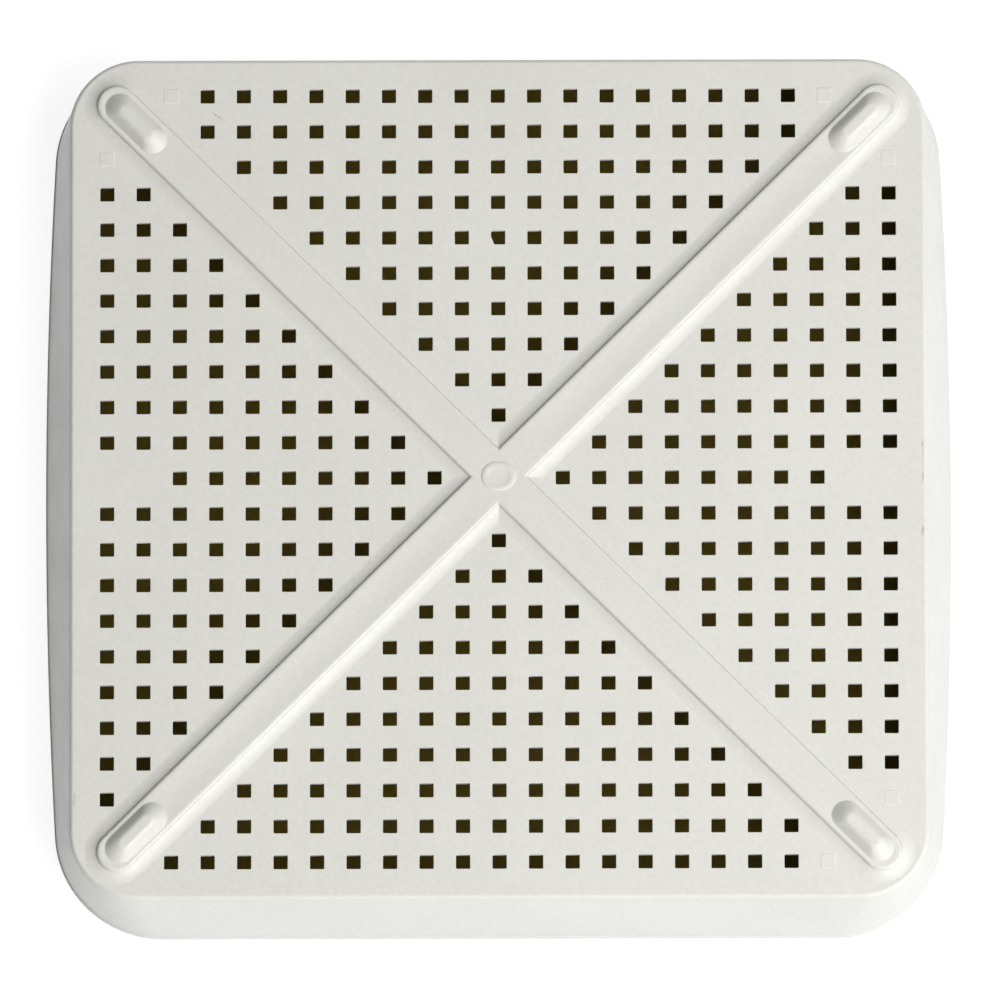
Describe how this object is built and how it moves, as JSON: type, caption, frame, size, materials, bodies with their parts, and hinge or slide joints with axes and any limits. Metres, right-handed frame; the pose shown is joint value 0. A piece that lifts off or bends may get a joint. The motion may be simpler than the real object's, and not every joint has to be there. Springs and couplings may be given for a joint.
{
  "type": "draining tray",
  "caption": "Square off-white plastic draining tray with a perforated base, crossed diagonal ribs, small corner feet and sloping solid walls, standing on its rim.",
  "frame": {"origin": "middle of the rim plane, on which the tray stands upside down", "axes": "+Z out through the perforated base, +X to the right across the bowed walls, -Y to the front"},
  "size_m": [0.1998, 0.1978, 0.0264],
  "materials": {
    "tray_plastic": "satin"
  },
  "bodies": {
    "root": {"grille_front": "tray_plastic", "grille_right": "tray_plastic", "grille_back": "tray_plastic", "grille_left": "tray_plastic", "wall_front": "tray_plastic", "wall_right": "tray_plastic", "wall_back": "tray_plastic", "wall_left": "tray_plastic", "corner_front_left": "tray_plastic", "corner_front_right": "tray_plastic", "corner_back_right": "tray_plastic", "corner_back_left": "tray_plastic", "rib_hub": "tray_plastic", "rib_front_left": "tray_plastic", "rib_front_right": "tray_plastic", "rib_back_right": "tray_plastic", "rib_back_left": "tray_plastic", "foot_front_left": "tray_plastic", "foot_front_right": "tray_plastic", "foot_back_right": "tray_plastic", "foot_back_left": "tray_plastic", "centre_button": "tray_plastic"}
  },
  "joints": []
}
